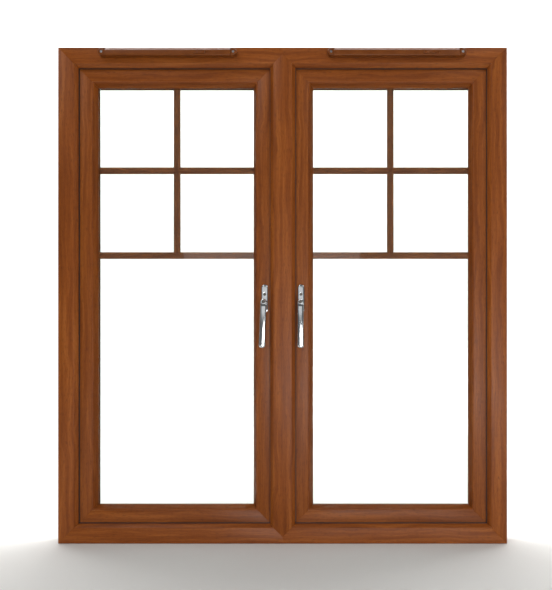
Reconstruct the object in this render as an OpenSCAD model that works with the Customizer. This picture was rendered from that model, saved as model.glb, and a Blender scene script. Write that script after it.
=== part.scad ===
// Two-light casement window in wood-grained PVC: a welded outer frame with a mullion,
// two outward-opening sashes on friction stays, double glazing with bars in the cavity,
// a locking handle on each sash and two slot vents on the head.
// X runs along the width, the room is on the -Y side and +Z is up. The origin is the
// middle of the frame's bottom face. Everything is modelled for the left light and
// mirrored for the right one, apart from the vents, which are alike.

/* [Outer frame] */
// Overall width of the outer frame
frame_w = 1190; // [950:5:1450]
// Overall height of the outer frame
frame_h = 1315; // [1050:5:1600]
// Depth of the outer frame from the room face to the outside face
frame_d = 70; // [68:1:84]
// Width of the flat room face of a jamb, head or sill
face_w = 41.5; // [38:0.5:52]
// Width of the bevel beside that face
bevel_w = 9.5; // [6:0.5:12]
// How far the bevel falls back
bevel_d = 8; // [4:0.5:10]
// Thickness of the upstand that the sash shuts behind
upstand_t = 14; // [12:0.5:17]
// Height of the upstand above the web
upstand_h = 20; // [18:0.5:24]
// Width of the flat room face of the mullion
mullion_flat = 48; // [42:1:60]
// Wall thickness of the hollow profiles
wall = 3; // [2.5:0.1:3.6]
// Wall thickness of the steel tube in the mullion
steel_t = 1.5; // [1:0.25:2.5]
// Diameter of the fixing holes through the jambs
fixing_bore = 8; // [6:0.5:10]
// Distance of the end fixing holes from the head and the sill
fixing_in = 150; // [100:5:200]

/* [Sash] */
// Gap between the frame's web and the sash edge, where the hardware lies
hardware_gap = 12; // [11.5:0.5:14]
// Gap between the upstand and the room face of the sash
sash_set = 3; // [2.5:0.25:4]
// How far the weather seal shows past the upstand
seal_show = 1.5; // [0.5:0.25:2.5]
// Width of the sash profile from its edge to the glazing platform
stile_w = 34.5; // [34:0.5:46]
// Thickness of the outer leaf
leaf_t = 9; // [8.5:0.5:12]
// How far the outer leaf laps over the hardware gap
leaf_lap = 7.5; // [5:0.5:8]
// Width of the hardware groove in the sash edge
groove_w = 16; // [16:0.5:18]
// Depth of the hardware groove
groove_deep = 4; // [4:0.25:5]
// Distance of the hardware's centre line behind the frame's middle plane
hardware_y = 4; // [3:0.5:5]

/* [Glazing] */
// Width of a glazing bead, which is also the cover of the glass edge
bead_w = 12.5; // [11.5:0.5:18]
// Thickness of a glazing bead from the sash's face to the seal
bead_t = 18; // [12:0.5:19]
// How far the outer leaf stays back from the beads' sight line
leaf_back = 4; // [0:0.5:4]
// Thickness of one pane
pane_t = 4; // [3:0.5:5]
// Thickness of the seal on each side of the glass unit
seal_t = 3; // [2:0.5:4]
// Gap between the glass edge and the sash, filled by the packers
glass_edge = 3; // [2.5:0.5:4]
// Depth of the bead at its glass side
bead_back = 1.5; // [1:0.5:3]
// Width of a bar in the cavity
bar_w = 18; // [12:0.5:24]
// Thickness of a bar in the cavity
bar_t = 8; // [6:0.5:9]
// Distance of the upper cross bar below the frame's top
upper_bar_down = 316.5; // [260:0.5:360]
// Distance of the lower cross bar below the frame's top
lower_bar_down = 546.25; // [460:0.5:620]

/* [Friction stays] */
// Length of a stay link between its pivots
link_len = 110; // [95:1:125]
// Distance from the web of the jamb to the pivot in the sliding shoe
shoe_in = 10; // [9:0.5:14]
// Width of the track, the links and the arms
stay_w = 18; // [16:0.5:20]
// Thickness of a link
link_t = 2.5; // [2:0.25:2.75]
// Diameter of the stay's pivot pins
pivot_d = 6; // [5:0.5:7]
// Running clearance on the radius of a pin
running = 0.05; // [0.02:0.01:0.08]

/* [Lock and handle] */
// Height of the handle's axis above the frame's bottom
handle_z = 640; // [560:5:700]
// Distance of the handle's axis from the middle of the mullion
handle_in = 48.5; // [46:0.5:50]
// Width of the lever and its base
lever_w = 17; // [13:0.5:18]
// Length of the lever from its axis to its tip
lever_len = 122; // [100:1:140]
// Angle by which the left lever hangs off plumb
lever_lean = 2; // [0:0.5:4]
// Length of the handle's base
base_len = 76; // [70:1:90]
// Side of the square spindle
spindle_a = 7; // [6:0.5:8]
// Distance from the handle's axis to each fixing screw
screw_out = 21.5; // [21:0.5:25]
// Diameter of the key button
button_d = 9; // [7:0.5:10]
// Travel of the key button
button_travel = 3; // [2:0.5:4]
// Travel of the lock rods over a quarter turn
rod_travel = 19; // [16:1:20]
// Length of the lock's face plate
lock_len = 1000; // [800:5:1100]
// Distance between neighbouring locking rollers
roller_pitch = 420; // [340:5:440]
// Diameter of a locking roller
roller_d = 8.4; // [7:0.2:9]

/* [Vents] */
// Length of a vent
vent_len = 366; // [300:2:400]
// Height of a vent
vent_h = 19.5; // [18.5:0.5:26]
// How far a vent stands off the frame
vent_d = 20; // [16:0.5:24]
// Distance of each vent's middle from the middle of the frame
vent_x = 302; // [255:1:320]
// Distance of the vent's top below the frame's top
vent_down = 8; // [6:0.5:9]
// Wall thickness of the vent mouldings
vent_wall = 1.8; // [1.5:0.1:2.2]
// Travel of the vent's shutter
shutter_travel = 12; // [8:1:14]

/* [Hidden] */
$fn = 48;
// One node of the window for each separate piece or set of pieces.
SIDE_NODES = [
    "weatherseal", "stay_tracks", "keeps", "vent_canopy", "vent_end_caps", "vent_hood",
    "vent_slider", "sash_frame", "glazing_beads", "outer_pane", "inner_pane", "spacer",
    "georgian_bars", "glazing_seals", "glass_packers", "espag_lock", "stay_arms",
    "handle_base", "handle_screws", "handle_lever", "spindle", "lock_button",
    "drive_rods", "cam_rollers", "stay_links", "stay_shoes"
];

// Planes across the depth, from the room to the outside.
y_room = -frame_d / 2;
y_out = frame_d / 2;
y_up = y_room + upstand_t;
y_sash = y_up + sash_set;
y_leaf = y_out - leaf_t;

// Distances inwards from the frame's outer edge.
u_edge = face_w + bevel_w;
u_web = u_edge - upstand_h;
sash_u = u_web + hardware_gap;

// Half widths of the mullion at its face, its upstands and its web.
mull_face = mullion_flat / 2;
mull_half = mull_face + bevel_w;
mull_web = mull_half - upstand_h;
v_tip = u_edge - mull_half;

// The left sash, whose own origin is the middle of its bottom edge.
sash_outer_x = frame_w / 2 - sash_u;
sash_inner_x = mull_web + hardware_gap;
sash_w = sash_outer_x - sash_inner_x;
sash_x = -(sash_outer_x + sash_inner_x) / 2;
sash_h = frame_h - 2 * sash_u;

// The glass unit: panes, cavity and the sight line of the beads.
y_glass = y_leaf - seal_t;
y_cavity_out = y_glass - pane_t;
y_bead = y_sash + bead_t;
y_inner_pane = y_bead + seal_t;
y_cavity_in = y_inner_pane + pane_t;
y_bar = (y_cavity_in + y_cavity_out) / 2;
sight = stile_w + bead_w;
leaf_sight = sight - leaf_back;
glass_in = stile_w + glass_edge;
spacer_in = 1.5;
spacer_h = 6;
seal_w = 5;

// How far the weather seal reaches behind the upstand.
seal_lap = 6;

// Clearances between separate pieces.
slide_gap = 0.3;
touch = 0.05;

// The stays' stack of plates, counted upwards from the web of the sill.
track_t = 3.5;
shoe_gap = 1.7;
link_z = u_web + 6;
arm_t = 3;
arm_z = sash_u - arm_t;
shoe_pivot_x = -(frame_w / 2 - u_web - shoe_in);
link_pivot_x = shoe_pivot_x + link_len;
fixed_pivot_x = shoe_pivot_x + 2 * link_len;
track_out = 8;
track_end_x = shoe_pivot_x - track_out;

// The lock: rollers at three heights about the middle of the sash.
lock_mid = frame_h / 2;
roller_z = [for (i = [-1:1]) lock_mid + i * roller_pitch];
plate_t = 1.5;
rod_t = 2;
keep_h = 9;
box_h = 80;
box_in = 31;
box_w = 15;
keep_l = 34;

// The sliding shoe's foot and neck in the track, and the screws that hold the track.
max_open = 70;
floor_t = 1.2;
foot_t = 1.2;
foot_w = 13;
neck_w = 10;
shoe_half = 9;
slot_end_x = fixed_pivot_x - 2 * link_len * cos(max_open) + shoe_half + 4;
track_tail = 22;
track_screws = [-15, 15];
track_screw_d = 3.5;
track_head_d = 7;
track_screw_in = 12;
head_t = 1.4;
arm_tail = 70;

// The keeps, the rods and the gear box.
keep_base = 2;
keep_wall = 4;
stem_d = 5;
rod_gap = 0.25;
rod_w = 12;
rod_tail = 40;
gear_w = 7;
rack_room = 33;

// The handle: thickness of its base, its neck and its blade, and what lies inside it.
base_t = 6;
base_up = 48;
boss_d = 12.5;
neck_len = 22;
blade_t = 12;
screw_d = 4.8;
screw_head_d = 8;
spindle_hole = 13;
spindle_in = 14;
y_spindle = -y_sash + spindle_in - 1;
button_end = -(y_spindle + 4);
button_front = y_sash - base_t - slide_gap - neck_len - blade_t - 1;

// The vents: slots through the head, windows, knob and screws.
vent_z = frame_h - vent_down - vent_h / 2;
slot_len = 96;
slot_pitch = 106;
slot_h = 9;
cap_len = 18;
win_n = 5;
win_pitch = 24;
win_w = 10;
win_h = 9;
shutter_t = 1.6;
knob_x = 85;
knob_l = 28;
knob_h = 6;
knob_z = vent_z - 2;
knob_out = 3;
knob_scoop_r = 13;
knob_scoop = 1.8;
skirt_t = 1;
skirt_lap = 3;
vent_screw_d = 3.4;
vent_head_d = 6.4;
vent_head_in = 1;
vent_screw_in = 16;

// ---------------------------------------------------------------- helpers

// A length of profile along X. The profile is drawn with Y inwards from the outer edge
// and X across the depth, and its ends are mitred at 45 degrees up to a given reach.
module mitred_bar(len, reach) {
    intersection() {
        rotate([90, 0, 90]) linear_extrude(len, center = true) children();
        rotate([90, 0, 0]) linear_extrude(4 * frame_d, center = true)
            polygon([[-len / 2, 0], [len / 2, 0], [len / 2 - reach, reach],
                     [-len / 2 + reach, reach]]);
    }
}

// Four mitred lengths round a w by h rectangle whose bottom middle is the origin.
module mitred_ring(w, h, reach) {
    mitred_bar(w, reach) children();
    translate([0, 0, h]) mirror([0, 0, 1]) mitred_bar(w, reach) children();
    translate([-w / 2, 0, h / 2]) rotate([0, 90, 0]) mitred_bar(h, reach) children();
    translate([w / 2, 0, h / 2]) rotate([0, -90, 0]) mitred_bar(h, reach) children();
}

// A flat rectangular ring in the XZ plane between two distances in from a w by h edge.
module flat_ring(w, h, from, to, y0, y1) {
    translate([0, y1, 0]) rotate([90, 0, 0]) linear_extrude(y1 - y0) difference() {
        translate([-w / 2 + from, from]) square([w - 2 * from, h - 2 * from]);
        translate([-w / 2 + to, to]) square([w - 2 * to, h - 2 * to]);
    }
}

// A box given by its two corners.
module block(lo, hi) translate(lo) cube(hi - lo);

// A plate with round ends between two points on X, in the XY plane.
module strap(x0, x1, y, z, w, t) {
    translate([0, y, z]) linear_extrude(t) {
        translate([x0, -w / 2]) square([x1 - x0, w]);
        translate([x0, 0]) circle(d = w);
        translate([x1, 0]) circle(d = w);
    }
}

// A round bar along Z, and one along Y.
module upright(x, y, z0, z1, d) translate([x, y, z0]) cylinder(d = d, h = z1 - z0);
module along_y(x, y0, y1, z, d) translate([x, y1, z]) rotate([90, 0, 0])
    cylinder(d = d, h = y1 - y0);

module right() mirror([1, 0, 0]) children();

// Moves a piece drawn at the bottom to the top as well.
module bottom_and_top() {
    children();
    translate([0, 0, frame_h]) mirror([0, 0, 1]) children();
}

// Puts a piece drawn about the sash's own origin in its place.
module in_sash() translate([sash_x, 0, sash_u]) children();

// ---------------------------------------------------------------- outer frame

pvc = "#7a4424";
steel = "#b9bcc0";

// The rim of the outer frame: room face, bevel, upstand, web and outside face, as
// [depth, distance in], with its hollow chambers.
module frame_profile() {
    difference() {
        polygon([[y_room, 0], [y_room, face_w], [y_room + bevel_d, u_edge], [y_up, u_edge],
                 [y_up, u_web], [y_out, u_web], [y_out, 0]]);
        translate([y_up + wall, wall]) square([y_out - y_up - 2 * wall, u_web - 2 * wall]);
        polygon([[y_room + wall, wall], [y_room + wall, face_w - wall / 3],
                 [y_room + bevel_d + wall / 2, u_edge - wall], [y_up - wall, u_edge - wall],
                 [y_up - wall, u_web - wall], [y_up, u_web - wall], [y_up, wall]]);
    }
}

// One half of the mullion's section, which is as the frame's rim from its middle out.
module mullion_half_profile() {
    polygon([[0, y_room], [mull_face, y_room], [mull_half, y_room + bevel_d],
             [mull_half, y_up], [mull_web, y_up], [mull_web, y_out], [0, y_out]]);
}

// The arrow head that the mullion is cut to at each end and the rim is notched for.
module arrow(up_to) {
    rotate([90, 0, 0]) linear_extrude(2 * frame_d, center = true)
        polygon([[0, v_tip], [up_to, v_tip + up_to], [-up_to, v_tip + up_to]]);
}

// The steel tube's room in the mullion, and the tube itself at a smaller size.
module mullion_core(gap, z0) {
    half = mull_web - wall - gap;
    block([-half, y_up + wall + gap, z0], [half, y_out - wall - gap, frame_h - z0]);
}

// Slots for air through the head, one for each vent.
module vent_slots() {
    for (side = [-1, 1]) for (i = [-1:1]) translate([side * vent_x + i * slot_pitch, 0, vent_z])
        cube([slot_len, 2 * frame_d, slot_h], center = true);
}

module fixing_bores() {
    for (z = [fixing_in, frame_h / 2, frame_h - fixing_in])
        translate([0, (y_up + y_out) / 2, z]) rotate([0, 90, 0]) {
            translate([0, 0, -frame_w / 2 - 1]) cylinder(d = fixing_bore, h = u_web + 2);
            translate([0, 0, frame_w / 2 - u_web - 1]) cylinder(d = fixing_bore, h = u_web + 2);
        }
}

module outer_frame() {
    color(pvc) difference() {
        union() {
            difference() {
                mitred_ring(frame_w, frame_h, u_edge + 1) frame_profile();
                bottom_and_top() arrow(mull_half + 1);
            }
            intersection() {
                linear_extrude(frame_h) {
                    mullion_half_profile();
                    mirror([1, 0]) mullion_half_profile();
                }
                rotate([90, 0, 0]) linear_extrude(2 * frame_d, center = true)
                    polygon([[0, v_tip], [mull_half, u_edge], [mull_half, frame_h - u_edge],
                             [0, frame_h - v_tip], [-mull_half, frame_h - u_edge],
                             [-mull_half, u_edge]]);
            }
        }
        mullion_core(0, u_edge);
        vent_slots();
        fixing_bores();
        stay_screw_bores();
        vent_screw_bores();
    }
}

module mullion_steel() {
    z0 = u_edge + slide_gap;
    half = mull_web - wall - slide_gap;
    color(steel) difference() {
        mullion_core(slide_gap, z0);
        mullion_core(slide_gap + steel_t, 0);
    }
}

// The seal on the back of the upstand, which the sash presses against.
module weatherseal() {
    w = sash_w + 2 * hardware_gap;
    h = frame_h - 2 * u_web;
    color("#1b1b1d") translate([sash_x, 0, u_web])
        flat_ring(w, h, upstand_h - seal_lap, upstand_h + seal_show, y_up, y_sash - slide_gap);
}

// ---------------------------------------------------------------- sash

// The sash section as [depth, distance in from the sash edge], with its groove for the
// hardware, the platform that carries the glass, the outer leaf and its chambers.
module sash_profile() {
    edge_in = stile_w - wall;
    difference() {
        polygon([[y_sash, 0], [y_sash, stile_w], [y_leaf, stile_w], [y_leaf, leaf_sight],
                 [y_out - 4, leaf_sight], [y_out, leaf_sight - 4], [y_out, -leaf_lap],
                 [y_leaf, -leaf_lap], [y_leaf, 0], [hardware_y + groove_w / 2, 0],
                 [hardware_y + groove_w / 2, groove_deep],
                 [hardware_y - groove_w / 2, groove_deep], [hardware_y - groove_w / 2, 0]]);
        translate([y_sash + wall, groove_deep + wall])
            square([y_leaf - y_sash - 2 * wall, edge_in - groove_deep - wall]);
        translate([y_leaf + wall, wall - leaf_lap])
            square([leaf_t - 2 * wall, leaf_sight + leaf_lap - 2 * wall - 3]);
    }
}

// The room that is routed out of the inner stile for the lock's gear box.
module lock_pocket(gap) {
    x1 = -sash_inner_x;
    block([x1 - box_in - gap, hardware_y - box_w / 2 - gap, handle_z - box_h / 2 - gap],
          [x1 - groove_deep + 1, hardware_y + box_w / 2 + gap, handle_z + box_h / 2 + gap]);
}

// Bores for the spindle and the two screws behind the handle.
module handle_bores() {
    along_y(-handle_in, y_sash - 1, hardware_y, handle_z, spindle_hole);
    for (dz = [-screw_out, screw_out])
        along_y(-handle_in, y_sash - 1, hardware_y, handle_z + dz, screw_d + 2 * touch);
}

module sash_frame() {
    color(pvc) difference() {
        in_sash() mitred_ring(sash_w, sash_h, sight + 1) sash_profile();
        lock_pocket(slide_gap);
        handle_bores();
    }
}

// A bead as [depth, distance in from the sash edge]: a rounded nose by the sash's face,
// then a slope down to the glass.
module bead_profile() {
    nose = 3;
    translate([0, stile_w]) {
        polygon([[y_bead, 0], [y_sash + nose, 0], [y_sash, nose],
                 [y_bead - bead_back, bead_w], [y_bead, bead_w]]);
        intersection() {
            translate([y_sash + nose, nose]) circle(r = nose);
            translate([y_sash, 0]) square([nose, nose]);
        }
    }
}

// Four loose beads, each a solid of its own, with a hair of a gap at the mitres.
module glazing_beads() {
    w = sash_w;
    reach = sight + 1;
    color(pvc) in_sash() difference() {
        mitred_ring(w, sash_h, reach) bead_profile();
        for (corner = [[-w / 2, 0, 1], [w / 2, 0, -1], [-w / 2, sash_h, -1], [w / 2, sash_h, 1]])
            translate([corner[0], y_sash, corner[1]]) rotate([0, -45 * corner[2], 0])
                cube([4 * sight, 2 * bead_t + 2, touch], center = true);
    }
}

module pane(y) {
    color("#dfeaf0") in_sash() translate([0, y, 0])
        block([glass_in - sash_w / 2, 0, glass_in],
              [sash_w / 2 - glass_in, pane_t, sash_h - glass_in]);
}

// The sealed spacer that holds the two panes apart.
module spacer() {
    color("#c9c9c6") in_sash() flat_ring(sash_w, sash_h, glass_in + spacer_in,
        glass_in + spacer_in + spacer_h, y_cavity_in, y_cavity_out);
}

// Bars in the cavity: two across, and one upright above the lower one.
module georgian_bars() {
    lo = glass_in + spacer_in + spacer_h;
    lower = frame_h - lower_bar_down - sash_u;
    upper = frame_h - upper_bar_down - sash_u;
    half = bar_w / 2;
    y0 = y_bar - bar_t / 2;
    y1 = y_bar + bar_t / 2;
    color("#74492f") in_sash() {
        for (z = [lower, upper])
            block([lo - sash_w / 2, y0, z - half], [sash_w / 2 - lo, y1, z + half]);
        block([-half, y0, lower], [half, y1, sash_h - lo]);
    }
}

// Seals each side of the glass unit: one under the beads, one on the outer leaf.
module glazing_seals() {
    color("#1b1b1d") in_sash() {
        flat_ring(sash_w, sash_h, sight - 1 - seal_w, sight - 1, y_bead, y_inner_pane);
        flat_ring(sash_w, sash_h, leaf_sight - 1 - seal_w, leaf_sight - 1, y_glass, y_leaf);
    }
}

// Packers between the glass edge and the platform, two on each side.
module glass_packers() {
    len = 100;
    dx = sash_w / 2 - stile_w - len;
    dz = sash_h / 2 - stile_w - len;
    color("#2e5d9b") in_sash() translate([0, y_inner_pane, 0]) {
        for (x = [-dx, dx]) for (z = [stile_w, sash_h - glass_in])
            block([x - len / 2, 0, z], [x + len / 2, y_glass - y_inner_pane, z + glass_edge]);
        for (z = [-dz, dz]) for (x = [stile_w - sash_w / 2, sash_w / 2 - glass_in])
            block([x, 0, sash_h / 2 + z - len / 2],
                  [x + glass_edge, y_glass - y_inner_pane, sash_h / 2 + z + len / 2]);
    }
}

// ---------------------------------------------------------------- friction stays

// The track on the web of the sill and of the head. The shoe's foot runs in its
// undercut slot, and the stud of the fixed pivot stands at its far end.
module stay_tracks() {
    z = u_web;
    y = hardware_y;
    stud_top = link_z + link_t + slide_gap;
    color(steel) bottom_and_top() difference() {
        union() {
            block([track_end_x, y - stay_w / 2, z],
                  [fixed_pivot_x + track_tail, y + stay_w / 2, z + track_t]);
            upright(fixed_pivot_x, y, z, stud_top, pivot_d);
            upright(fixed_pivot_x, y, stud_top, stud_top + head_t, pivot_d + 4);
        }
        block([track_end_x - 1, y - neck_w / 2, z + floor_t],
              [slot_end_x, y + neck_w / 2, z + track_t + 1]);
        block([track_end_x - 1, y - foot_w / 2, z + floor_t],
              [slot_end_x, y + foot_w / 2, z + floor_t + foot_t]);
        for (dx = track_screws) {
            upright(fixed_pivot_x + dx, y, z - 1, z + track_t + 1, track_screw_d + 2 * touch);
            upright(fixed_pivot_x + dx, y, z + track_t - head_t, z + track_t + 1,
                track_head_d + 2 * touch);
        }
    }
}

// The shoe, with its foot in the track and a bore for the arm's pin.
module stay_shoes() {
    z = u_web + floor_t;
    y = hardware_y;
    g = slide_gap;
    x0 = shoe_pivot_x - shoe_half;
    x1 = shoe_pivot_x + shoe_half;
    color("#8d9093") bottom_and_top() difference() {
        union() {
            block([x0, y - foot_w / 2 + g, z + g / 2], [x1, y + foot_w / 2 - g, z + foot_t - g]);
            block([x0, y - neck_w / 2 + g, z + g / 2],
                  [x1, y + neck_w / 2 - g, u_web + track_t + 2 * g]);
            block([x0, y - stay_w / 2 + 1, u_web + track_t + g],
                  [x1, y + stay_w / 2 - 1, arm_z - g]);
        }
        upright(shoe_pivot_x, y, u_web, arm_z + 1, pivot_d + 2 * running);
    }
}

// The link between the fixed pivot and the middle pivot.
module stay_links() {
    color(steel) bottom_and_top() difference() {
        strap(link_pivot_x, fixed_pivot_x, hardware_y, link_z, stay_w, link_t);
        for (x = [link_pivot_x, fixed_pivot_x])
            upright(x, hardware_y, link_z - 1, link_z + link_t + 1, pivot_d + 2 * running);
    }
}

// The arm on the sash's edge, with a pin down into the shoe and one through the link.
module stay_arms() {
    y = hardware_y;
    color(steel) bottom_and_top() {
        strap(shoe_pivot_x, link_pivot_x + arm_tail, y, arm_z, stay_w, arm_t);
        upright(shoe_pivot_x, y, u_web + floor_t + 2 * slide_gap, arm_z, pivot_d);
        upright(link_pivot_x, y, link_z - slide_gap - head_t, arm_z, pivot_d);
        upright(link_pivot_x, y, link_z - slide_gap - head_t, link_z - slide_gap, pivot_d + 4);
    }
}

// Countersunk screws that hold the tracks to the sill and to the head.
module stay_screws() {
    top = u_web + track_t;
    color("#9a9da1") for (side = [0, 1]) mirror([side, 0, 0]) bottom_and_top() for (dx = track_screws) {
        upright(fixed_pivot_x + dx, hardware_y, top - head_t, top, track_head_d);
        upright(fixed_pivot_x + dx, hardware_y, u_web - track_screw_in, top, track_screw_d);
    }
}

// Pilot holes in the frame for those screws.
module stay_screw_bores() {
    for (side = [0, 1]) mirror([side, 0, 0]) bottom_and_top() for (dx = track_screws)
        upright(fixed_pivot_x + dx, hardware_y, u_web - track_screw_in - 1, u_web + 1,
            track_screw_d + 2 * touch);
}

// ---------------------------------------------------------------- lock

// The keeps on the mullion's web. A roller at rest stands behind the keep's wall, and
// goes clear of its lower end as the rods move down.
module keeps() {
    wall_y = hardware_y + roller_d / 2 + slide_gap;
    x = -mull_web;
    color(steel) for (z = roller_z) {
        block([x - keep_base, hardware_y - 8, z - keep_l / 2],
              [x, wall_y + keep_wall, z + keep_l / 2]);
        block([x - keep_h, wall_y, z - roller_d / 2 - 4],
              [x - keep_base, wall_y + keep_wall, z + roller_d]);
    }
}

// The pinion's and the rack's teeth share one pitch. The pitch radius is such that a
// quarter turn moves the rods by their travel.
pitch_r = rod_travel * 2 / PI;
tooth_pitch = rod_travel / 3;
tooth_h = 1.5;
tooth_w = 0.4 * tooth_pitch;

// One straight-sided tooth pointing along +X, with its pitch line at x = 0.
module tooth() {
    slope = tooth_h * tan(20);
    polygon([[-tooth_h - 0.4, -tooth_w / 2 - slope], [tooth_h, -tooth_w / 2 + slope],
             [tooth_h, tooth_w / 2 - slope], [-tooth_h - 0.4, tooth_w / 2 + slope]]);
}

// The case, the face plate in the groove and the guide for the rack.
module espag_lock() {
    x_plate = -sash_inner_x;
    x_floor = x_plate - groove_deep;
    x_back = x_plate - box_in;
    y = hardware_y;
    gear_room = gear_w / 2 + slide_gap;
    color(steel) {
        difference() {
            block([x_plate - plate_t, y - groove_w / 2 + slide_gap, lock_mid - lock_len / 2],
                  [x_plate, y + groove_w / 2 - slide_gap, lock_mid + lock_len / 2]);
            for (z = roller_z)
                block([x_plate - plate_t - 1, y - stem_d / 2 - slide_gap,
                       z - rod_travel - stem_d / 2 - 1],
                      [x_plate + 1, y + stem_d / 2 + slide_gap, z + stem_d / 2 + 1]);
        }
        difference() {
            block([x_back, y - box_w / 2, handle_z - box_h / 2],
                  [x_floor, y + box_w / 2, handle_z + box_h / 2]);
            along_y(-handle_in, y - gear_room, y + gear_room, handle_z,
                2 * (pitch_r + tooth_h + 1));
            block([-handle_in + pitch_r - tooth_h - 1, y - gear_room, handle_z - rack_room],
                  [x_floor + 1, y + gear_room, handle_z + rack_room]);
            along_y(-handle_in, y - box_w, y + box_w, handle_z, spindle_hole);
            for (dz = [-screw_out, screw_out])
                along_y(-handle_in, y - box_w, y + box_w, handle_z + dz, screw_d + 2 * touch);
        }
    }
}

// The rods behind the face plate, with the rack that reaches to the pinion.
module drive_rods() {
    x1 = -sash_inner_x - plate_t - rod_gap;
    x0 = x1 - rod_t;
    y = hardware_y;
    rack_x = -handle_in + pitch_r;
    color("#a9abad") {
        block([x0, y - rod_w / 2, roller_z[0] - rod_tail],
              [x1, y + rod_w / 2, roller_z[2] + rod_tail]);
        block([rack_x + tooth_h + 0.3, y - gear_w / 2, handle_z - tooth_pitch * 1.5],
              [x0, y + gear_w / 2, handle_z + tooth_pitch * 4.5]);
        for (k = [-1:4]) translate([rack_x, y + gear_w / 2, handle_z + k * tooth_pitch])
            rotate([90, 0, 0]) linear_extrude(gear_w) mirror([1, 0]) tooth();
    }
}

// Rollers with their stems on the rods.
module cam_rollers() {
    x1 = -mull_web - keep_base - 1;
    x0 = -sash_inner_x + slide_gap;
    color("#c9cbce") for (z = roller_z) translate([0, hardware_y, z]) rotate([0, 90, 0]) {
        translate([0, 0, x0]) cylinder(d = roller_d, h = x1 - x0);
        translate([0, 0, -sash_inner_x - plate_t - rod_gap]) cylinder(d = stem_d, h = groove_deep);
    }
}

// ---------------------------------------------------------------- handle

// An upright plate with round ends, thick along Y from y0 to y1.
module long_plate(w, z0, z1, y0, y1) {
    translate([-handle_in, y1, 0]) rotate([90, 0, 0]) linear_extrude(y1 - y0) {
        translate([-w / 2, z0 + w / 2]) square([w, z1 - z0 - w]);
        for (z = [z0 + w / 2, z1 - w / 2]) translate([0, z]) circle(d = w);
    }
}

chrome = "#d6d8da";

module handle_base() {
    front = y_sash - base_t;
    color(chrome) difference() {
        long_plate(lever_w + 1, handle_z + base_up - base_len, handle_z + base_up, front, y_sash);
        along_y(-handle_in, front - 1, y_sash + 1, handle_z, boss_d + 2 * running);
        for (dz = [-screw_out, screw_out]) {
            along_y(-handle_in, front - 1, y_sash + 1, handle_z + dz, screw_d + 2 * touch);
            along_y(-handle_in, front - 1, front + 3, handle_z + dz, screw_head_d + 2 * touch);
        }
    }
}

module handle_screws() {
    front = y_sash - base_t;
    color("#9a9da1") for (dz = [-screw_out, screw_out]) {
        along_y(-handle_in, front + 0.5, front + 3, handle_z + dz, screw_head_d);
        along_y(-handle_in, front + 0.5, hardware_y + box_w / 2, handle_z + dz, screw_d);
    }
}

// The lever: a neck on the axis, then a blade that hangs down in front of the base. Its
// play on the spindle lets it lean, while its square hole and its bore stay true.
module handle_lever(lean = 0) {
    front = y_sash - base_t - slide_gap;
    r = lever_w / 2;
    neck_y = front - neck_len;
    blade_y = neck_y - blade_t;
    color(chrome) difference() {
        union() {
            translate([-handle_in, 0, handle_z]) rotate([0, lean, 0]) translate([-r, 0, 0])
                rotate([90, 0, 90]) linear_extrude(lever_w)
                    polygon([[front, r], [neck_y - 4, r], [blade_y + 3, r - 4], [blade_y, -r],
                             [blade_y, 6 - lever_len], [blade_y + 3, -lever_len],
                             [neck_y - 4, -lever_len], [neck_y - 1, 8 - lever_len],
                             [neck_y, -2 * r], [neck_y + 6, -r], [front, -r]]);
            along_y(-handle_in, front - 1, y_sash, handle_z, boss_d);
        }
        translate([-handle_in, 0, handle_z]) cube([spindle_a + 2 * touch, 2 * (-y_sash + spindle_in),
            spindle_a + 2 * touch], center = true);
        along_y(-handle_in, blade_y - 1, button_end, handle_z, button_d + 2 * running);
    }
}

// The square spindle, and the toothed sector that it turns in the case.
module spindle() {
    y = hardware_y;
    color("#8d9093") {
        block([-handle_in - spindle_a / 2, -y_spindle, handle_z - spindle_a / 2],
              [-handle_in + spindle_a / 2, y + gear_w / 2, handle_z + spindle_a / 2]);
        translate([-handle_in, y + gear_w / 2, handle_z]) rotate([90, 0, 0]) linear_extrude(gear_w) {
            circle(d = spindle_hole - 1);
            intersection() {
                circle(r = pitch_r - tooth_h);
                polygon([[0, -6], [40, -10], [40, 40], [-10, 40], [-6, 0]]);
            }
            for (a = [-15, 15, 45, 75, 105]) rotate(a) translate([pitch_r, 0]) tooth();
        }
    }
}

// The key-operated button on the axis of the lever, in its blind bore.
module lock_button() {
    front = button_front;
    color("#9fa2a5") difference() {
        along_y(-handle_in, front, button_end - button_travel - slide_gap, handle_z, button_d);
        translate([-handle_in, front, handle_z]) cube([1, 3, 4], center = true);
    }
}

// ---------------------------------------------------------------- vents

// The canopy's section as [distance out from the frame, height above the middle].
module canopy_section(inset) {
    h = vent_h / 2 - inset;
    d = vent_d - inset;
    polygon([[inset, -h], [d, -h], [d, h - 4], [d - 4, h], [inset, h]]);
}

// Turns a section drawn as [out from the frame's face, up] into a length along X.
module on_face(len) {
    translate([0, y_room, vent_z]) rotate([90, 0, 90]) linear_extrude(len, center = true)
        mirror([1, 0]) children();
}

// Windows in a row along X, each win_w wide.
module windows(y0, y1, h, shift) {
    for (i = [-win_n:win_n])
        block([i * win_pitch + shift - win_w / 2, y0, vent_z - h / 2],
              [i * win_pitch + shift + win_w / 2, y1, vent_z + h / 2]);
}

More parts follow.
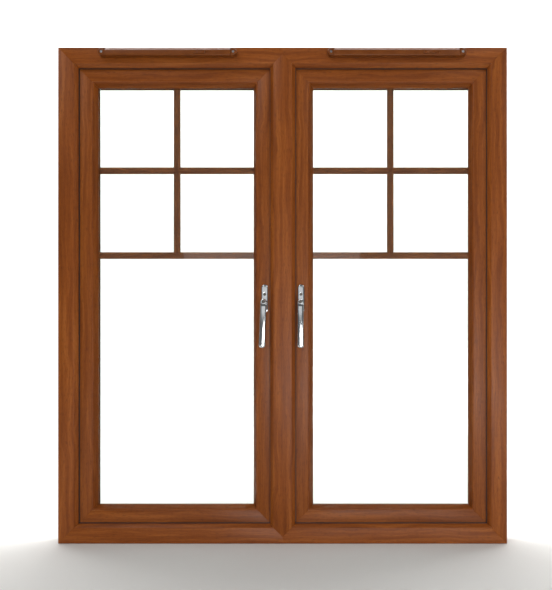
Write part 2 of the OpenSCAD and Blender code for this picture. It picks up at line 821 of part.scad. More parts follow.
// The canopy over the slots: a shell whose back has windows and whose top lets air out,
// with a slot in its front for the shutter's knob.
module vent_canopy() {
    len = vent_len - 2 * cap_len;
    color("#6c3913") difference() {
        on_face(len) canopy_section(0);
        on_face(len - 2 * vent_wall) canopy_section(vent_wall);
        windows(y_room - vent_wall - 1, y_room + 1, win_h, 0);
        for (i = [-win_n:win_n])
            block([i * win_pitch - win_w / 2, y_room - vent_d / 2 - 3, vent_z],
                  [i * win_pitch + win_w / 2, y_room - vent_d / 2 + 3, vent_z + vent_h]);
        block([knob_x - knob_l / 2 - slide_gap, y_room - vent_d - 1,
               knob_z - knob_h / 2 - slide_gap],
              [knob_x + knob_l / 2 + shutter_travel + slide_gap, y_room - vent_d + vent_wall + 1,
               knob_z + knob_h / 2 + slide_gap]);
    }
}

// The shutter plate, which covers the windows at rest, with its scooped knob and the
// skirt that closes the knob's slot from inside wherever the knob stands.
module vent_slider() {
    back = y_room - vent_wall - slide_gap;
    half = win_n * win_pitch + win_w;
    front = y_room - vent_d - knob_out;
    skirt_y = y_room - vent_d + vent_wall + slide_gap;
    skirt_half = knob_l / 2 + shutter_travel + skirt_lap;
    color("#5f3211") {
        difference() {
            block([-half, back - shutter_t, vent_z - win_h / 2 - 2],
                  [half, back, vent_z + win_h / 2 + 2]);
            windows(back - shutter_t - 1, back + 1, win_h, -shutter_travel);
        }
        difference() {
            block([knob_x - knob_l / 2, front, knob_z - knob_h / 2],
                  [knob_x + knob_l / 2, back - shutter_t, knob_z + knob_h / 2]);
            translate([knob_x, front - knob_scoop_r + knob_scoop, knob_z])
                cylinder(r = knob_scoop_r, h = 2 * knob_h, center = true);
        }
        block([knob_x - skirt_half, skirt_y, knob_z - knob_h / 2 - 2],
              [knob_x + skirt_half, skirt_y + skirt_t, knob_z + knob_h / 2 + 2]);
    }
}

module vent_end_caps() {
    r = vent_h / 2;
    color("#6c3913") for (end = [0, 1]) mirror([end, 0, 0]) difference() {
        intersection() {
            translate([vent_len / 2 - cap_len / 2, 0, 0]) on_face(cap_len) canopy_section(0);
            union() {
                along_y(vent_len / 2 - r, y_room - 2 * vent_d, y_room + 1, vent_z, vent_h);
                block([vent_len / 2 - cap_len, y_room - 2 * vent_d, vent_z - r],
                      [vent_len / 2 - r, y_room + 1, vent_z + r]);
            }
        }
        along_y(vent_len / 2 - r, y_room - vent_d - 1, y_room + 1, vent_z, vent_screw_d + 2 * touch);
        along_y(vent_len / 2 - r, y_room - vent_d - 1, y_room - vent_d + vent_head_in + 2, vent_z,
            vent_head_d + 2 * touch);
    }
}

module vent_screws() {
    front = y_room - vent_d + vent_head_in;
    color("#9a9da1") for (side = [-1, 1]) for (end = [-1, 1]) {
        x = side * vent_x + end * (vent_len / 2 - vent_h / 2);
        along_y(x, front, front + 2, vent_z, vent_head_d);
        along_y(x, front, y_room + vent_screw_in, vent_z, vent_screw_d);
    }
}

module vent_screw_bores() {
    for (side = [-1, 1]) for (end = [-1, 1])
        along_y(side * vent_x + end * (vent_len / 2 - vent_h / 2), y_room - 1,
            y_room + vent_screw_in + 1, vent_z, vent_screw_d + 2 * touch);
}

// The hood outside, open below, which keeps the rain out of the slots.
module vent_hood() {
    z0 = frame_h - u_web + 2;
    z1 = frame_h - 4;
    color("#6c3913") translate([0, y_out, 0]) difference() {
        rotate([90, 0, 90]) linear_extrude(vent_len, center = true)
            polygon([[0, z0], [vent_d, z0], [vent_d, z1 - 8], [0, z1]]);
        rotate([90, 0, 90]) linear_extrude(vent_len - 2 * vent_wall, center = true)
            polygon([[-1, z0 - 1], [vent_d - vent_wall, z0 - 1],
                     [vent_d - vent_wall, z1 - 8 - vent_wall], [-1, z1 - 2 * vent_wall]]);
    }
}

module at_vent(side) translate([side * vent_x, 0, 0]) children();

// ---------------------------------------------------------------- nodes

outer_frame();
mullion_steel();
stay_screws();
vent_screws();
at_vent(-1) vent_canopy();  // left_vent_canopy
at_vent(1) vent_canopy();  // right_vent_canopy
at_vent(-1) vent_end_caps();  // left_vent_end_caps
at_vent(1) vent_end_caps();  // right_vent_end_caps
at_vent(-1) vent_hood();  // left_vent_hood
at_vent(1) vent_hood();  // right_vent_hood
at_vent(-1) vent_slider();  // left_vent_slider
at_vent(1) vent_slider();  // right_vent_slider
weatherseal();  // left_weatherseal
right() weatherseal();  // right_weatherseal
stay_tracks();  // left_stay_tracks
right() stay_tracks();  // right_stay_tracks
keeps();  // left_keeps
right() keeps();  // right_keeps
sash_frame();  // left_sash_frame
right() sash_frame();  // right_sash_frame
glazing_beads();  // left_glazing_beads
right() glazing_beads();  // right_glazing_beads
pane(y_cavity_out);  // left_outer_pane
right() pane(y_cavity_out);  // right_outer_pane
pane(y_inner_pane);  // left_inner_pane
right() pane(y_inner_pane);  // right_inner_pane
spacer();  // left_spacer
right() spacer();  // right_spacer
georgian_bars();  // left_georgian_bars
right() georgian_bars();  // right_georgian_bars
glazing_seals();  // left_glazing_seals
right() glazing_seals();  // right_glazing_seals
glass_packers();  // left_glass_packers
right() glass_packers();  // right_glass_packers
espag_lock();  // left_espag_lock
right() espag_lock();  // right_espag_lock
stay_arms();  // left_stay_arms
right() stay_arms();  // right_stay_arms
handle_base();  // left_handle_base
right() handle_base();  // right_handle_base
handle_screws();  // left_handle_screws
right() handle_screws();  // right_handle_screws
handle_lever(lever_lean);  // left_handle_lever
right() handle_lever();  // right_handle_lever
spindle();  // left_spindle
right() spindle();  // right_spindle
lock_button();  // left_lock_button
right() lock_button();  // right_lock_button
drive_rods();  // left_drive_rods
right() drive_rods();  // right_drive_rods
cam_rollers();  // left_cam_rollers
right() cam_rollers();  // right_cam_rollers
stay_links();  // left_stay_links
right() stay_links();  // right_stay_links
stay_shoes();  // left_stay_shoes
right() stay_shoes();  // right_stay_shoes
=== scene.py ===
# %% [markdown]
# # A wood-grained casement window
# The window is a welded outer frame with a mullion, two sashes that open outwards,
# beads, sealed glazing with bars in its cavity, a handle on each sash and two vents.
# The working model gives every piece its place. This file gives the pieces that are
# seen from the room their true rounded form, and gives every piece its finish.

# %% Load the frame
import bmesh
import bpy
import numpy as np
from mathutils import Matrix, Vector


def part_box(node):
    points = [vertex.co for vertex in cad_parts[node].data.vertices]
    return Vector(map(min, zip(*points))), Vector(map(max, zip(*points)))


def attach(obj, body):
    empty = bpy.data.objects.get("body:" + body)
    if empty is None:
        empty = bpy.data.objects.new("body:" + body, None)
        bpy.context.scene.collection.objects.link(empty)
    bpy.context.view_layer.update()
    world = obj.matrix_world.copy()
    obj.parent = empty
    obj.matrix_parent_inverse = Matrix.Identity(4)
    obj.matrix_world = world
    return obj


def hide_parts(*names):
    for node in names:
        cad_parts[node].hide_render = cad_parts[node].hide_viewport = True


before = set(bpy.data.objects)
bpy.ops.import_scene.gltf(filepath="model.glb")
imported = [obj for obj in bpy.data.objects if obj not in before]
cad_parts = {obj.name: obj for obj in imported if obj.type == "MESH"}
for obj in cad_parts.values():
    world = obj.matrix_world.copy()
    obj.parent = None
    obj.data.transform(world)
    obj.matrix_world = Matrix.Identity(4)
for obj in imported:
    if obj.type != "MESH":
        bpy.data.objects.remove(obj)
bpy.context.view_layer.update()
MM = 0.001
SIDES = {"left_": -1, "right_": 1}

# %% [markdown]
# ## Sizes
# Overall sizes come from the loaded frame. The profile sizes below are those of the
# extrusions themselves, in millimetres, and are counted across the depth (y) and
# inwards from the outer edge (u).

# %% Sizes in millimetres
lo, hi = (np.array(corner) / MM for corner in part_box("outer_frame"))
FRAME_W, FRAME_H = hi[0] - lo[0], hi[2] - lo[2]
Y_ROOM, Y_OUT = lo[1], hi[1]
BEVEL_W, BEVEL_D = 9.5, 8.0
U_EDGE, U_WEB = 51.0, 31.0
Y_UP = Y_ROOM + 14.0
MULL_HALF, MULL_WEB = 33.5, 13.5
V_TIP = U_EDGE - MULL_HALF
sash_lo, sash_hi = (np.array(corner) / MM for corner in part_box("left_sash_frame"))
LEAF_LAP = 7.5
SASH_W = sash_hi[0] - sash_lo[0] - 2 * LEAF_LAP
SASH_H = sash_hi[2] - sash_lo[2] - 2 * LEAF_LAP
SASH_X = (sash_lo[0] + sash_hi[0]) / 2
SASH_Z = sash_lo[2] + LEAF_LAP
Y_SASH = sash_lo[1]
STILE, BEAD_W, BEAD_T = 34.5, 12.5, 18.0
print(f"frame {FRAME_W:.0f} x {FRAME_H:.0f} mm, sash {SASH_W:.1f} x {SASH_H:.0f} mm")


# %% [markdown]
# ## Rounded outlines
# An extruded profile has small radii at its arrises, which is where the light catches.
# Each corner of an outline is replaced by a short arc that touches both of its edges,
# so that one list of corners and radii says the whole section.

# %% Round an outline's corners
def rounded(corners, steps=3):
    """Points of a closed outline with its corners rounded.

    Each corner is (y, u, radius). The arc's ends lie radius / tan(half the corner's
    angle) away along both edges, and the points between follow the quadratic curve
    (1-t)^2 a + 2t(1-t) corner + t^2 b.
    """
    pts = np.array([c[:2] for c in corners], float)
    radii = np.array([c[2] for c in corners], float)
    back = np.roll(pts, 1, 0) - pts
    ahead = np.roll(pts, -1, 0) - pts
    len_back = np.linalg.norm(back, axis=1)
    len_ahead = np.linalg.norm(ahead, axis=1)
    cos = (back * ahead).sum(1) / (len_back * len_ahead)
    half = np.arccos(np.clip(cos, -1, 1)) / 2
    cut = np.minimum(radii / np.tan(half), 0.45 * np.minimum(len_back, len_ahead))
    a = pts + back / len_back[:, None] * cut[:, None]
    b = pts + ahead / len_ahead[:, None] * cut[:, None]
    t = np.linspace(0, 1, steps + 1)[None, :, None]
    curve = (1 - t) ** 2 * a[:, None] + 2 * t * (1 - t) * pts[:, None] + t ** 2 * b[:, None]
    keep = [curve[i] if radii[i] > 0 else pts[i:i + 1] for i in range(len(pts))]
    return np.concatenate(keep)


def outward(outline):
    """Unit normals of a closed outline's points, pointing away from its inside."""
    tangent = np.roll(outline, -1, 0) - np.roll(outline, 1, 0)
    normal = np.stack([tangent[:, 1], -tangent[:, 0]], 1)
    normal /= np.linalg.norm(normal, axis=1)[:, None]
    nxt = np.roll(outline, -1, 0)
    area = (outline[:, 0] * nxt[:, 1] - outline[:, 1] * nxt[:, 0]).sum()
    return normal * np.sign(area)


# %% [markdown]
# ## Lengths of profile
# A bar is its outline carried along a straight line. Both ends may be cut by any line
# across the inward direction, so a 45 degree mitre, a square end and the arrow head of
# the mullion are all one function of u. Just beside a weld the surface dips by a few
# tenths of a millimetre, as the cleaned weld of a real frame does, so the outline gets
# a few extra stations close to each end. The UV map holds millimetres along the bar
# and around it, so that the grain runs along every member and breaks at the mitres.

# %% Sweep an outline along a bar
WELD_AT = np.array([0.0, 0.25, 0.6, 1.1])
WELD_DEPTH = np.array([0.42, 0.36, 0.12, 0.0])


def bar(outline, start, stop, place, dip=1.0, stations=2):
    """Vertices, faces and UVs of one closed length of profile.

    outline is [y, u]; start(u) and stop(u) give where the bar begins and ends for each
    point; place(s, y, u) turns the bar's own coordinates into X, Y, Z millimetres. Near
    both ends the points move inwards along the outline's normal by the weld's depth
    times dip, which may be a pair for the two ends.
    """
    y, u = outline[:, 0], outline[:, 1]
    s0, s1 = start(u), stop(u)
    inner = np.linspace(0, 1, stations + 2)[1:-1]
    rows = [s0 + d for d in WELD_AT]
    rows += [s0 + (s1 - s0) * t for t in inner]
    rows += [s1 - d for d in WELD_AT[::-1]]
    dip0, dip1 = dip if isinstance(dip, tuple) else (dip, dip)
    depth = np.concatenate([WELD_DEPTH[:, None] * dip0 * np.ones(len(u)),
                            np.zeros((stations, len(u))),
                            WELD_DEPTH[::-1, None] * dip1 * np.ones(len(u))])
    s = np.stack(rows)
    n = outward(outline)
    yy = y[None] - depth * n[None, :, 0]
    uu = u[None] - depth * n[None, :, 1]
    verts = np.stack(place(s, yy, uu), -1).reshape(-1, 3) * MM
    count, around = s.shape
    i, j = np.meshgrid(np.arange(count - 1), np.arange(around), indexing="ij")
    k = (j + 1) % around
    quads = np.stack([i * around + j, i * around + k, (i + 1) * around + k,
                      (i + 1) * around + j], -1).reshape(-1, 4)
    step = np.linalg.norm(np.roll(outline, -1, 0) - outline, axis=1)
    v_at = np.concatenate([[0], np.cumsum(step)])
    uv = np.stack([
        np.stack([s[i, j], v_at[j]], -1), np.stack([s[i, k], v_at[j + 1]], -1),
        np.stack([s[i + 1, k], v_at[j + 1]], -1), np.stack([s[i + 1, j], v_at[j]], -1),
    ], 2).reshape(-1, 2)
    return verts, quads, uv, around


def make_mesh(name, parts, material, grain=(0,)):
    """One object from a list of bars, each closed by a face at each end.

    grain gives each bar the number of its own stretch of foil: the UVs are moved on by
    that many lengths, so that no two members show the same piece of grain.
    """
    verts, faces, uvs, base = [], [], [], 0
    for number, (v, quads, uv, around) in zip(grain, parts):
        verts.append(v)
        faces += (quads + base).tolist()
        faces.append(list(range(base + around - 1, base - 1, -1)))
        last = base + len(v)
        faces.append(list(range(last - around, last)))
        shift = np.array([731.0 * number, 157.0 * number])
        uvs.append(uv + shift)
        uvs.append(np.zeros((2 * around, 2)) + shift)
        base = last
    mesh = bpy.data.meshes.new(name)
    mesh.from_pydata(np.concatenate(verts).tolist(), [], faces)
    layer = mesh.uv_layers.new(name="grain")
    layer.uv.foreach_set("vector", np.concatenate(uvs).astype(np.float32).ravel())
    mesh.update()
    return finish_mesh(name, mesh, material)


def finish_mesh(name, mesh, material, smooth_below=40.0):
    """An object for a mesh: faces turned outwards, smooth but for edges sharper than
    the given angle in degrees."""
    work = bmesh.new()
    work.from_mesh(mesh)
    bmesh.ops.recalc_face_normals(work, faces=work.faces)
    work.to_mesh(mesh)
    work.free()
    mesh.polygons.foreach_set("use_smooth", np.ones(len(mesh.polygons), bool))
    mesh.set_sharp_from_angle(angle=np.radians(smooth_below))
    mesh.materials.append(material)
    piece = bpy.data.objects.new(name, mesh)
    bpy.context.scene.collection.objects.link(piece)
    return piece


# %% [markdown]
# ## Frames of four bars
# The sashes, their beads and the outer frame are all made from lengths of one profile
# that are cut at 45 degrees and joined at the corners. A length is described once, as
# the bottom one, and turned into the other three by its place function.

# %% Places of the four members
def member(edge, cx, cz, half_w, half_h):
    """A place function: bar coordinates (s, y, u) to X, Y, Z for one edge of a
    rectangle whose centre is (cx, cz). s runs along the member from its middle."""
    return {
        "bottom": lambda s, y, u: (cx + s, y, cz - half_h + u),
        "top": lambda s, y, u: (cx + s, y, cz + half_h - u),
        "left": lambda s, y, u: (cx - half_w + u, y, cz + s),
        "right": lambda s, y, u: (cx + half_w - u, y, cz + s),
    }[edge]


def four_bars(outline, cx, cz, width, height, gap=0.0, dip=1.0):
    """The four mitred bars of a rectangle; gap shortens each by that much per end."""
    bars = []
    for edge, half in (("bottom", width / 2), ("top", width / 2),
                       ("left", height / 2), ("right", height / 2)):
        bars.append(bar(outline, lambda u, h=half: -h + u + gap, lambda u, h=half: h - u - gap,
                        member(edge, cx, cz, width / 2, height / 2), dip))
    return bars


# %% [markdown]
# ## Finishes
# One small function adds a node with its settings and its links. Colours are written as
# the sRGB hex values that a designer would note down, and one function turns them into
# the linear numbers that the renderer works with.

# %% Colour and node helpers
def linear(hex_code, alpha=1.0):
    """sRGB hex to linear RGBA: c / 12.92 below 0.04045, else ((c + 0.055) / 1.055)^2.4."""
    c = np.array([int(hex_code[i:i + 2], 16) for i in (1, 3, 5)]) / 255
    lin = np.where(c <= 0.04045, c / 12.92, ((c + 0.055) / 1.055) ** 2.4)
    return (*lin.tolist(), alpha)


def add(tree, kind, settings=None, **links):
    """A node of this kind with its settings, and its inputs set or linked by name.

    A double underscore in a name stands for a space, and a trailing number picks an
    input by its position, such as in0."""
    node = tree.nodes.new(kind)
    for key, value in (settings or {}).items():
        setattr(node, key, value)
    for key, value in links.items():
        socket = node.inputs[int(key[2:])] if key.startswith("in") else \
            node.inputs[key.replace("__", " ")]
        if isinstance(value, bpy.types.NodeSocket):
            tree.links.new(value, socket)
        else:
            socket.default_value = value
    return node


def start_material(name, colour, metallic=0.0, roughness=0.5, ior=1.5, coat=0.0):
    """A material and its shader, with what is the same all over set on its sockets."""
    mat = bpy.data.materials.new(name)
    mat.use_nodes = True
    tree = mat.node_tree
    shader = tree.nodes["Principled BSDF"]
    shader.inputs["Base Color"].default_value = linear(colour)
    shader.inputs["Metallic"].default_value = metallic
    shader.inputs["Roughness"].default_value = roughness
    if not metallic:
        shader.inputs["IOR"].default_value = ior
    shader.inputs["Coat Weight"].default_value = coat
    shader.inputs["Coat Roughness"].default_value = 0.25
    return mat, tree, shader


def ramp(tree, factor, stops):
    """A colour ramp with (position, hex) stops."""
    node = add(tree, "ShaderNodeValToRGB", in0=factor)
    elements = node.color_ramp.elements
    while len(elements) < len(stops):
        elements.new(0.5)
    for element, (at, colour) in zip(elements, stops):
        element.position = at
        element.color = linear(colour)
    return node.outputs["Color"]


def span(tree, value, low, high, new_low, new_high):
    """A number moved from one range to another, held inside the new one."""
    return add(tree, "ShaderNodeMapRange", in0=value, in1=low, in2=high, in3=new_low,
               in4=new_high).outputs[0]


# %% [markdown]
# ## Wood-grained foil
# The profiles are PVC with a printed and embossed foil. The print has long soft bands
# a few centimetres wide, fine streaks under a millimetre wide and tens of millimetres
# long, and short dark pores. The emboss follows the streaks, which is why the satin
# sheen breaks into lines. The pattern reads the UV map, so it runs along each member.

# %% Wood-grained foil
def grain_foil(name, dark, mid, light, pore="#2c1204", rough=0.36, strength=1.0):
    """Streaks are noise stretched 60 to 1 along the member, bands are wide noise bent
    by a slower one, and pores are the peaks of a noise stretched 12 to 1."""
    mat, tree, shader = start_material(name, mid, roughness=rough, ior=1.28)
    uv = add(tree, "ShaderNodeUVMap", {"uv_map": "grain"}).outputs["UV"]
    sway = add(tree, "ShaderNodeTexNoise", {"noise_dimensions": "2D"}, Scale=1.0, Detail=2.0,
               Vector=add(tree, "ShaderNodeMapping", in0=uv, Scale=(1 / 190, 1 / 60, 1)).outputs[0])
    bend = add(tree, "ShaderNodeVectorMath", {"operation": "MULTIPLY"},
               in0=sway.outputs["Color"], in1=(0.0, 26.0, 0.0)).outputs[0]
    place = add(tree, "ShaderNodeVectorMath", {"operation": "ADD"}, in0=uv, in1=bend).outputs[0]

    def streaks(along, across, detail):
        """Noise whose features are along by across millimetres: noise(u/along, v/across)."""
        where = add(tree, "ShaderNodeMapping", in0=place, Scale=(1 / along, 1 / across, 1))
        return add(tree, "ShaderNodeTexNoise", {"noise_dimensions": "2D"}, Scale=1.0,
                   Detail=detail, Roughness=0.6, Vector=where.outputs[0]).outputs["Fac"]

    bands = streaks(420.0, 13.0, 3.0)
    fine = streaks(85.0, 1.6, 4.0)
    pores = streaks(16.0, 0.9, 1.0)
    both = add(tree, "ShaderNodeMath", {"operation": "ADD"},
               in0=add(tree, "ShaderNodeMath", {"operation": "MULTIPLY"}, in0=bands,
                       in1=0.62).outputs[0],
               in1=add(tree, "ShaderNodeMath", {"operation": "MULTIPLY"}, in0=fine,
                       in1=0.38).outputs[0]).outputs[0]
    wood = ramp(tree, both, [(0.34, dark), (0.50, mid), (0.64, light)])
    peak = span(tree, pores, 0.62, 0.72, 0.0, 0.55 * strength)
    colour = add(tree, "ShaderNodeMix", {"data_type": "RGBA"}, in0=peak, in6=wood,
                 in7=linear(pore)).outputs[2]
    tree.links.new(colour, shader.inputs["Base Color"])
    tree.links.new(span(tree, fine, 0.3, 0.7, rough - 0.05, rough + 0.10), shader.inputs["Roughness"])
    height = add(tree, "ShaderNodeMath", {"operation": "SUBTRACT"}, in0=fine, in1=peak).outputs[0]
    bump = add(tree, "ShaderNodeBump", Strength=0.22 * strength, Distance=0.0003, Height=height)
    tree.links.new(bump.outputs[0], shader.inputs["Normal"])
    return mat


foil = grain_foil("wood_grained_foil", "#6d3610", "#804214", "#91511e", "#3d1d0b")
foil_sash = grain_foil("wood_grained_foil_sash", "#6b3510", "#7d4114", "#8d4e1d", "#3a1c0b")
foil_bead = grain_foil("wood_grained_foil_bead", "#68330e", "#7b3e13", "#8a4b1c", "#3a1b0a")
foil_bar = grain_foil("wood_grained_bar_foil", "#804824", "#91532a", "#a05e33", "#56321c",
                      rough=0.45)


# %% [markdown]
# ## Moulded plastic, plated metal, steel, glass and rubber
# The handle screws and the lock button are dark metal. Their darkness is painted shade and painted dark
# reflection, standing for the dark recess round the screws and the keyhole in the button.
# The vents are brown injection-moulded plastic with a fine spark-eroded texture. The
# levers are bright chrome plate, whose only marks are faint wipe lines in the gloss.
# The hidden fittings are zinc-plated steel with the cloudy look of passivated zinc.
# The glass is clear float glass with the usual trace of green, and the seals are
# black rubber with a matt bloom.

# %% Other finishes
def object_noise(tree, mm, detail=3.0, stretch=(1, 1, 1)):
    """Noise in object space with features of about this many millimetres."""
    at = add(tree, "ShaderNodeTexCoord").outputs["Object"]
    where = add(tree, "ShaderNodeMapping", in0=at, Scale=stretch).outputs[0]
    return add(tree, "ShaderNodeTexNoise", Vector=where, Scale=1000 / mm, Detail=detail).outputs["Fac"]


def textured(name, dark, light, mm, rough, bump=0.1, metallic=0.0, stretch=(1, 1, 1), coat=0.0,
             ior=1.5):
    """A finish whose colour and gloss drift between two values with a fine relief."""
    mat, tree, shader = start_material(name, dark, metallic, rough, ior, coat)
    fine = object_noise(tree, mm, 3.0, stretch)
    broad = object_noise(tree, mm * 30, 2.0)
    both = add(tree, "ShaderNodeMath", {"operation": "MULTIPLY_ADD"}, in0=fine, in1=0.5,
               in2=add(tree, "ShaderNodeMath", {"operation": "MULTIPLY"}, in0=broad,
                       in1=0.5).outputs[0]).outputs[0]
    tree.links.new(ramp(tree, both, [(0.35, dark), (0.65, light)]), shader.inputs["Base Color"])
    tree.links.new(span(tree, both, 0.3, 0.7, rough * 0.8, rough * 1.2), shader.inputs["Roughness"])
    relief = add(tree, "ShaderNodeBump", Strength=bump, Distance=mm * MM * 0.2, Height=fine)
    tree.links.new(relief.outputs[0], shader.inputs["Normal"])
    return mat


vent_brown = textured("brown_moulded_plastic", "#61300b", "#713b10", 0.8, 0.36, 0.10, ior=1.32)
chrome = textured("chrome_plate", "#c9cccf", "#dfe2e4", 1.5, 0.10, 0.02, metallic=1.0,
                  stretch=(1, 1, 0.05))
# Painted shade: this dark metal stands for the shaded recess and dark reflections round the handle
# screws and the dark keyhole in the lock button.
painted_shade_metal = textured("dark_metal_painted_shade", "#3f3b38", "#5d5955", 0.6, 0.35, 0.05, metallic=1.0)
zinc = textured("zinc_plated_steel", "#8f9398", "#b4b7ba", 2.5, 0.34, 0.06, metallic=1.0)
spacer_metal = textured("satin_aluminium_spacer", "#b5b5b2", "#c9c9c6", 1.2, 0.38, 0.05,
                        metallic=1.0, stretch=(0.1, 1, 1))
rubber = textured("black_seal_rubber", "#121213", "#232325", 1.0, 0.62, 0.15)
packer = textured("blue_packer_plastic", "#284f86", "#33619f", 1.0, 0.5, 0.1)


def float_glass(name):
    """Clear glass: full transmission, IOR 1.52, and dust that barely dulls the gloss."""
    mat, tree, shader = start_material(name, "#f7fbf9", roughness=0.0, ior=1.52)
    shader.inputs["Transmission Weight"].default_value = 1.0
    dust = object_noise(tree, 40.0, 2.0)
    tree.links.new(span(tree, dust, 0.4, 0.8, 0.0, 0.02), shader.inputs["Roughness"])
    return mat


glass = float_glass("clear_float_glass")
FINISH = {
    "mullion_steel": zinc, "stay_screws": zinc, "vent_screws": zinc, "weatherseal": rubber,
    "stay_tracks": zinc, "keeps": zinc, "vent_slider": vent_brown,
    "vent_hood": vent_brown, "outer_pane": glass, "inner_pane": glass,
    "spacer": spacer_metal, "glazing_seals": rubber,
    # The handle screws and the lock button take the dark metal, which is painted shade.
    "glass_packers": packer, "espag_lock": zinc, "stay_arms": zinc, "handle_screws": painted_shade_metal,
    "spindle": zinc, "lock_button": painted_shade_metal, "drive_rods": zinc, "cam_rollers": zinc,
    "stay_links": zinc, "stay_shoes": zinc,
}
finished = 0
for node_name, cad_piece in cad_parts.items():
    key = node_name if node_name in FINISH else node_name.split("_", 1)[1]
    if key in FINISH:
        for material_slot in cad_piece.material_slots:
            material_slot.material = FINISH[key]
        finished += 1
print("working pieces given a finish:", finished)


# %% [markdown]
# ## The outer frame
# The frame is four mitred members and a mullion. The mullion's ends are cut to arrow
# heads and welded into notches in the sill and the head, so those two members are made
# as halves that leave the notch open. Below the notch's tip the halves meet with no
# weld, which is why the dip at that end is switched off for small u. Screw holes and
# air slots are then cut through, as they are drilled and routed in the workshop.

# %% Cutting tools
def cut(piece, tool_meshes):
    """Takes cutters away from a closed piece with an exact boolean, and applies it."""
    work = bmesh.new()
    for mesh in tool_meshes:
        work.from_mesh(mesh)
    joined = bpy.data.meshes.new("cutter")
    work.to_mesh(joined)
    work.free()
    tool = bpy.data.objects.new("cutter", joined)
    bpy.context.scene.collection.objects.link(tool)
    step = piece.modifiers.new("cut", "BOOLEAN")
    step.operation = "DIFFERENCE"
    step.solver = "EXACT"
    step.object = tool
    done = bpy.data.meshes.new_from_object(piece.evaluated_get(bpy.context.evaluated_depsgraph_get()))
    piece.modifiers.clear()
    piece.data = done
    bpy.data.objects.remove(tool)


def box_tool(low, high):
    """A box cutter between two corners in millimetres."""
    low, high = np.array(low, float) * MM, np.array(high, float) * MM
    work = bmesh.new()
    bmesh.ops.create_cube(work, size=1.0)
    for vert in work.verts:
        vert.co = (low + high) / 2 + np.array(vert.co) * (high - low)
    mesh = bpy.data.meshes.new("box_tool")
    work.to_mesh(mesh)
    work.free()
    return mesh


def round_tool(centre, axis, radius, length, sides=32):
    """A round cutter along X or Y through a centre, in millimetres."""
    angle = np.linspace(0, 2 * np.pi, sides, endpoint=False)
    ring = np.stack([np.cos(angle), np.sin(angle)], 1) * radius
    ends = np.array([-0.5, 0.5]) * length
    flat = np.stack([np.repeat(ends, sides), np.tile(ring[:, 0], 2), np.tile(ring[:, 1], 2)], 1)
    if axis == "Y":
        flat = flat[:, [1, 0, 2]]
    verts = (flat + np.array(centre)) * MM
    k = np.arange(sides)
    faces = np.stack([k, (k + 1) % sides, (k + 1) % sides + sides, k + sides], 1).tolist()
    faces += [list(range(sides))[::-1], list(range(sides, 2 * sides))]
    mesh = bpy.data.meshes.new("round_tool")
    mesh.from_pydata(verts.tolist(), [], faces)
    work = bmesh.new()
    work.from_mesh(mesh)
    bmesh.ops.recalc_face_normals(work, faces=work.faces)
    work.to_mesh(mesh)
    work.free()
    return mesh


def join(pieces, name):
    """One object from several, under one name."""
    with bpy.context.temp_override(active_object=pieces[0], selected_editable_objects=pieces):
        bpy.ops.object.join()
    pieces[0].name = name
    pieces[0].data.name = name
    return pieces[0]


# %% The outer frame
frame_outline = rounded([
    (Y_ROOM, 0, 0.8), (Y_ROOM, V_TIP, 0), (Y_ROOM, U_EDGE - BEVEL_W, 1.8),
    (Y_ROOM + BEVEL_D, U_EDGE, 1.8), (Y_UP, U_EDGE, 0.8), (Y_UP, U_WEB, 0),
    (Y_OUT, U_WEB, 1.2), (Y_OUT, V_TIP, 0), (Y_OUT, 0, 0.8),
])
half_mullion = [
    (Y_ROOM, 0, 0), (Y_ROOM, MULL_HALF - BEVEL_W, 1.8), (Y_ROOM + BEVEL_D, MULL_HALF, 1.8),
    (Y_UP, MULL_HALF, 0.8), (Y_UP, MULL_WEB, 0), (Y_OUT, MULL_WEB, 1.2), (Y_OUT, 0, 0),
]
mullion_outline = rounded(half_mullion + [(y, -u, r) for y, u, r in half_mullion[-2:0:-1]])
notch = frame_outline[:, 1] >= V_TIP - 0.01

members = []
for edge in ("left", "right"):
    place = member(edge, 0, FRAME_H / 2, FRAME_W / 2, FRAME_H / 2)
    jamb = bar(frame_outline, lambda u: -FRAME_H / 2 + u, lambda u: FRAME_H / 2 - u, place)
    piece = make_mesh(edge + "_jamb", [jamb], foil, [len(members)])
    heights = (150.0, FRAME_H / 2, FRAME_H - 150.0)
    x = (FRAME_W / 2 - U_WEB / 2) * (-1 if edge == "left" else 1)
    cut(piece, [round_tool((x, (Y_UP + Y_OUT) / 2, z), "X", 4.0, U_WEB + 4) for z in heights])
    members.append(piece)
VENT_X, VENT_LEN, VENT_H, VENT_D = 302.0, 366.0, 19.5, 20.0
VENT_TOP_GAP = 8.0
VENT_Z = FRAME_H - VENT_TOP_GAP - VENT_H / 2
SLOT_PITCH, SLOT_HALF_W, SLOT_HALF_H = 106, 48, 4.5
for number, edge in enumerate(("bottom", "top")):
    place = member(edge, 0, FRAME_H / 2, FRAME_W / 2, FRAME_H / 2)
    for side in (-1, 1):
        if side < 0:
            half = bar(frame_outline, lambda u: -FRAME_W / 2 + u, lambda u: -np.maximum(0, u - V_TIP),
                       place, (1.0, notch))
        else:
            half = bar(frame_outline, lambda u: np.maximum(0, u - V_TIP), lambda u: FRAME_W / 2 - u,
                       place, (notch, 1.0))
        piece = make_mesh(f"rail_{edge}_{side}", [half], foil, [2 + number])
        if edge == "top":
            cut(piece, [box_tool((side * VENT_X + i * SLOT_PITCH - SLOT_HALF_W, Y_ROOM - 5,
                                  VENT_Z - SLOT_HALF_H),
                                 (side * VENT_X + i * SLOT_PITCH + SLOT_HALF_W, Y_OUT + 5,
                                  VENT_Z + SLOT_HALF_H))
                        for i in (-1, 0, 1)])
        members.append(piece)
post = bar(mullion_outline, lambda u: V_TIP + np.abs(u), lambda u: FRAME_H - V_TIP - np.abs(u),
           lambda s, y, u: (u, y, s))
members.append(make_mesh("mullion", [post], foil, [5]))
outer_frame = join(members, "welded_outer_frame")
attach(outer_frame, "frame")
